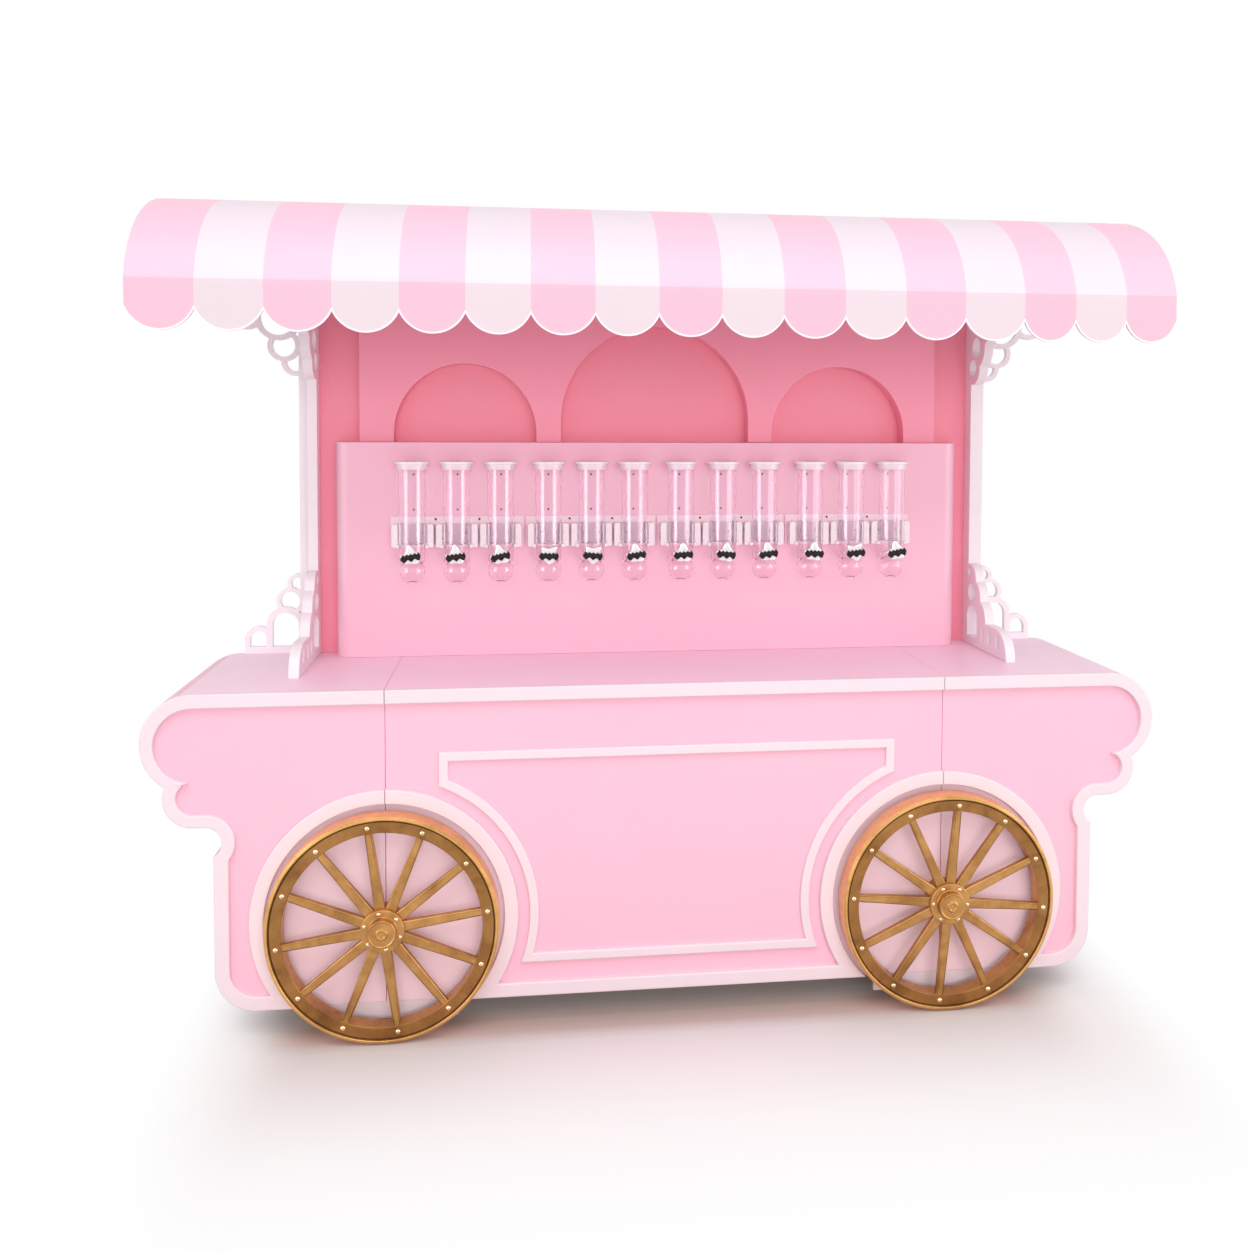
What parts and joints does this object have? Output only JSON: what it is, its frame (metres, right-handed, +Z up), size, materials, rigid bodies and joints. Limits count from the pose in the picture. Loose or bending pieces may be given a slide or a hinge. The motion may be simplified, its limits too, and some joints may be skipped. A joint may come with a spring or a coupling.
{
  "type": "candy buffet cart",
  "caption": "Free-standing buffet counter with scalloped ends, spoked side wheels, an arched back wall, a scalloped awning and a row of wall-mounted tube dispensers with turning knobs.",
  "frame": {"origin": "on the floor under the centre of the bounding box", "axes": "+X along the counter to the customer's right, +Y from the customer to the back, +Z up"},
  "size_m": [2.7638, 0.893, 2.189],
  "materials": {
    "pink_board": "satin pink paint on board",
    "rose_board": "satin rose paint on board",
    "white_board": "satin white paint on board",
    "gold_wheel": "antique gold paint, slightly worn at the edges",
    "awning_shell": "matte pink and white stripes",
    "clear_plastic": "clear acrylic",
    "white_plastic": "gloss white plastic",
    "rack_plastic": "milky translucent plastic",
    "chrome": "bright chrome"
  },
  "bodies": {
    "cart": {"base_left": "pink_board", "base_centre": "pink_board", "base_right": "pink_board", "trim_left": "white_board", "trim_top": "white_board", "trim_arches": "white_board", "trim_right": "white_board", "panel_moulding": "white_board", "leg_frame_left": "white_board", "leg_frame_right": "white_board", "back_wall": "rose_board", "display_board": "pink_board", "arch_panel": "pink_board", "side_board_left": "white_board", "side_board_right": "white_board", "wing_left": "white_board", "wing_right": "white_board", "awning": "awning_shell", "rack_1": "rack_plastic", "rack_2": "rack_plastic", "rack_3": "rack_plastic", "rack_4": "rack_plastic", "canister_01": "clear_plastic", "canister_02": "clear_plastic", "canister_03": "clear_plastic", "canister_04": "clear_plastic", "canister_05": "clear_plastic", "canister_06": "clear_plastic", "canister_07": "clear_plastic", "canister_08": "clear_plastic", "canister_09": "clear_plastic", "canister_10": "clear_plastic", "canister_11": "clear_plastic", "canister_12": "clear_plastic"},
    "left_wheel": {"wheel_left": "gold_wheel"},
    "right_wheel": {"wheel_right": "gold_wheel"},
    "knob_01_body": {"knob_01": "chrome"},
    "knob_02_body": {"knob_02": "chrome"},
    "knob_03_body": {"knob_03": "chrome"},
    "knob_04_body": {"knob_04": "chrome"},
    "knob_05_body": {"knob_05": "chrome"},
    "knob_06_body": {"knob_06": "chrome"},
    "knob_07_body": {"knob_07": "chrome"},
    "knob_08_body": {"knob_08": "chrome"},
    "knob_09_body": {"knob_09": "chrome"},
    "knob_10_body": {"knob_10": "chrome"},
    "knob_11_body": {"knob_11": "chrome"},
    "knob_12_body": {"knob_12": "chrome"},
    "lid_01_body": {"lid_01": "white_plastic"},
    "lid_02_body": {"lid_02": "white_plastic"},
    "lid_03_body": {"lid_03": "white_plastic"},
    "lid_04_body": {"lid_04": "white_plastic"},
    "lid_05_body": {"lid_05": "white_plastic"},
    "lid_06_body": {"lid_06": "white_plastic"},
    "lid_07_body": {"lid_07": "white_plastic"},
    "lid_08_body": {"lid_08": "white_plastic"},
    "lid_09_body": {"lid_09": "white_plastic"},
    "lid_10_body": {"lid_10": "white_plastic"},
    "lid_11_body": {"lid_11": "white_plastic"},
    "lid_12_body": {"lid_12": "white_plastic"}
  },
  "joints": [
    {"name": "left_wheel_spin", "type": "hinge", "parent": "cart", "child": "left_wheel", "pos_m": [-0.765, -0.1495, 0.303], "axis": [0, 1, 0], "continuous": true},
    {"name": "right_wheel_spin", "type": "hinge", "parent": "cart", "child": "right_wheel", "pos_m": [0.765, -0.1495, 0.303], "axis": [0, 1, 0], "continuous": true},
    {"name": "knob_01_turn", "type": "hinge", "parent": "cart", "child": "knob_01_body", "pos_m": [-0.7275, 0.2495, 1.231], "axis": [0, 1, 0], "continuous": true},
    {"name": "knob_02_turn", "type": "hinge", "parent": "cart", "child": "knob_02_body", "pos_m": [-0.5985, 0.2495, 1.231], "axis": [0, 1, 0], "continuous": true},
    {"name": "knob_03_turn", "type": "hinge", "parent": "cart", "child": "knob_03_body", "pos_m": [-0.4695, 0.2495, 1.231], "axis": [0, 1, 0], "continuous": true},
    {"name": "knob_04_turn", "type": "hinge", "parent": "cart", "child": "knob_04_body", "pos_m": [-0.3285, 0.2495, 1.231], "axis": [0, 1, 0], "continuous": true},
    {"name": "knob_05_turn", "type": "hinge", "parent": "cart", "child": "knob_05_body", "pos_m": [-0.1995, 0.2495, 1.231], "axis": [0, 1, 0], "continuous": true},
    {"name": "knob_06_turn", "type": "hinge", "parent": "cart", "child": "knob_06_body", "pos_m": [-0.0705, 0.2495, 1.231], "axis": [0, 1, 0], "continuous": true},
    {"name": "knob_07_turn", "type": "hinge", "parent": "cart", "child": "knob_07_body", "pos_m": [0.0705, 0.2495, 1.231], "axis": [0, 1, 0], "continuous": true},
    {"name": "knob_08_turn", "type": "hinge", "parent": "cart", "child": "knob_08_body", "pos_m": [0.1995, 0.2495, 1.231], "axis": [0, 1, 0], "continuous": true},
    {"name": "knob_09_turn", "type": "hinge", "parent": "cart", "child": "knob_09_body", "pos_m": [0.3285, 0.2495, 1.231], "axis": [0, 1, 0], "continuous": true},
    {"name": "knob_10_turn", "type": "hinge", "parent": "cart", "child": "knob_10_body", "pos_m": [0.4695, 0.2495, 1.231], "axis": [0, 1, 0], "continuous": true},
    {"name": "knob_11_turn", "type": "hinge", "parent": "cart", "child": "knob_11_body", "pos_m": [0.5985, 0.2495, 1.231], "axis": [0, 1, 0], "continuous": true},
    {"name": "knob_12_turn", "type": "hinge", "parent": "cart", "child": "knob_12_body", "pos_m": [0.7275, 0.2495, 1.231], "axis": [0, 1, 0], "continuous": true},
    {"name": "lid_01_lift", "type": "slide", "parent": "cart", "child": "lid_01_body", "axis": [0, 0, 1], "range_m": [0, 0.12]},
    {"name": "lid_02_lift", "type": "slide", "parent": "cart", "child": "lid_02_body", "axis": [0, 0, 1], "range_m": [0, 0.12]},
    {"name": "lid_03_lift", "type": "slide", "parent": "cart", "child": "lid_03_body", "axis": [0, 0, 1], "range_m": [0, 0.12]},
    {"name": "lid_04_lift", "type": "slide", "parent": "cart", "child": "lid_04_body", "axis": [0, 0, 1], "range_m": [0, 0.12]},
    {"name": "lid_05_lift", "type": "slide", "parent": "cart", "child": "lid_05_body", "axis": [0, 0, 1], "range_m": [0, 0.12]},
    {"name": "lid_06_lift", "type": "slide", "parent": "cart", "child": "lid_06_body", "axis": [0, 0, 1], "range_m": [0, 0.12]},
    {"name": "lid_07_lift", "type": "slide", "parent": "cart", "child": "lid_07_body", "axis": [0, 0, 1], "range_m": [0, 0.12]},
    {"name": "lid_08_lift", "type": "slide", "parent": "cart", "child": "lid_08_body", "axis": [0, 0, 1], "range_m": [0, 0.12]},
    {"name": "lid_09_lift", "type": "slide", "parent": "cart", "child": "lid_09_body", "axis": [0, 0, 1], "range_m": [0, 0.12]},
    {"name": "lid_10_lift", "type": "slide", "parent": "cart", "child": "lid_10_body", "axis": [0, 0, 1], "range_m": [0, 0.12]},
    {"name": "lid_11_lift", "type": "slide", "parent": "cart", "child": "lid_11_body", "axis": [0, 0, 1], "range_m": [0, 0.12]},
    {"name": "lid_12_lift", "type": "slide", "parent": "cart", "child": "lid_12_body", "axis": [0, 0, 1], "range_m": [0, 0.12]}
  ]
}
